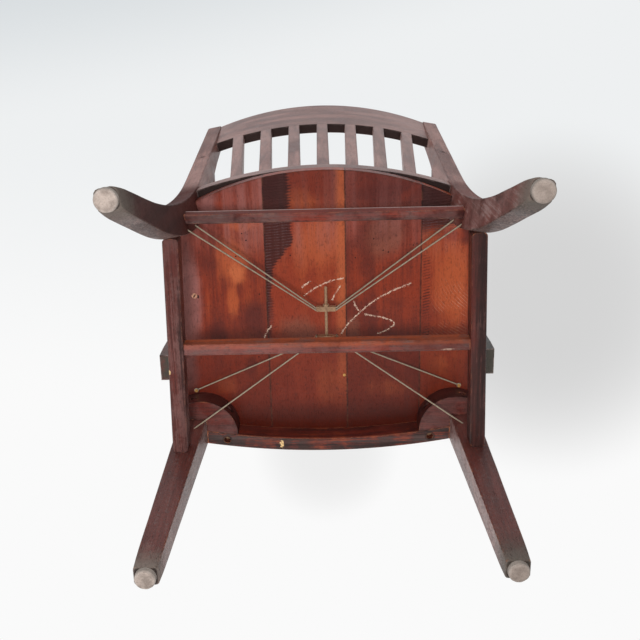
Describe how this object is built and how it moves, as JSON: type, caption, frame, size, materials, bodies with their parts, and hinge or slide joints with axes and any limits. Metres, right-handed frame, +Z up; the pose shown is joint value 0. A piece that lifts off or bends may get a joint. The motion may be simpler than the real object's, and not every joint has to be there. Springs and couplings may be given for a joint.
{
  "type": "wooden library armchair",
  "caption": "Wooden library armchair with a curved slatted back, shaped board seat, sawn arms, tapered front legs, swept rear posts and a tensioned wire brace below the seat.",
  "frame": {"origin": "on the floor under the middle of the chair's bounding box", "axes": "+Z up, -Y out of the chair's front, +X to the sitter's left"},
  "size_m": [0.538, 0.4836, 0.9048],
  "materials": {
    "seat_wood": "worn varnish, satin",
    "rail_wood": "worn varnish, satin",
    "leg_wood": "worn dark varnish, satin",
    "back_wood": "worn varnish with a grey bloom, satin",
    "stump_wood": "aged dark varnish, dull",
    "plug_wood": "worn dark varnish, satin",
    "dowel_wood": "bare",
    "glide": "worn, matte",
    "wire": "dulled zinc coat",
    "tensioner_steel": "dull, slightly rusted",
    "screw_steel": "dull",
    "brass": "tarnished"
  },
  "bodies": {
    "root": {"seat_board_1": "seat_wood", "seat_board_2": "seat_wood", "seat_board_3": "seat_wood", "seat_board_4": "seat_wood", "front_apron": "rail_wood", "corner_block_left": "rail_wood", "corner_block_right": "rail_wood", "front_leg_left": "leg_wood", "front_leg_right": "leg_wood", "rear_post_left": "back_wood", "rear_post_right": "back_wood", "side_stretcher_left": "leg_wood", "side_stretcher_right": "leg_wood", "cross_stretcher": "rail_wood", "rear_stretcher": "rail_wood", "lower_back_rail": "rail_wood", "crest_rail": "back_wood", "back_slat_1": "back_wood", "back_slat_2": "back_wood", "back_slat_3": "back_wood", "back_slat_4": "back_wood", "back_slat_5": "back_wood", "back_slat_6": "back_wood", "back_slat_7": "back_wood", "arm_left": "back_wood", "arm_right": "back_wood", "arm_stump_left": "stump_wood", "arm_stump_right": "stump_wood", "glide_front_left": "glide", "glide_front_right": "glide", "glide_rear_left": "glide", "glide_rear_right": "glide", "brace_wire_front_left": "wire", "brace_wire_front_right": "wire", "brace_wire_rear_left": "wire", "brace_wire_rear_right": "wire", "wire_clip": "tensioner_steel", "wire_yoke": "tensioner_steel", "tension_bolt": "tensioner_steel", "tension_nut": "tensioner_steel", "wire_nails": "brass", "apron_screws": "screw_steel", "block_screws": "screw_steel", "frame_screws": "screw_steel", "wood_plugs": "plug_wood", "crest_dowels": "dowel_wood", "rail_dowels": "dowel_wood", "apron_dowels": "dowel_wood", "lone_screw": "brass", "seat_tack": "brass"}
  },
  "joints": []
}
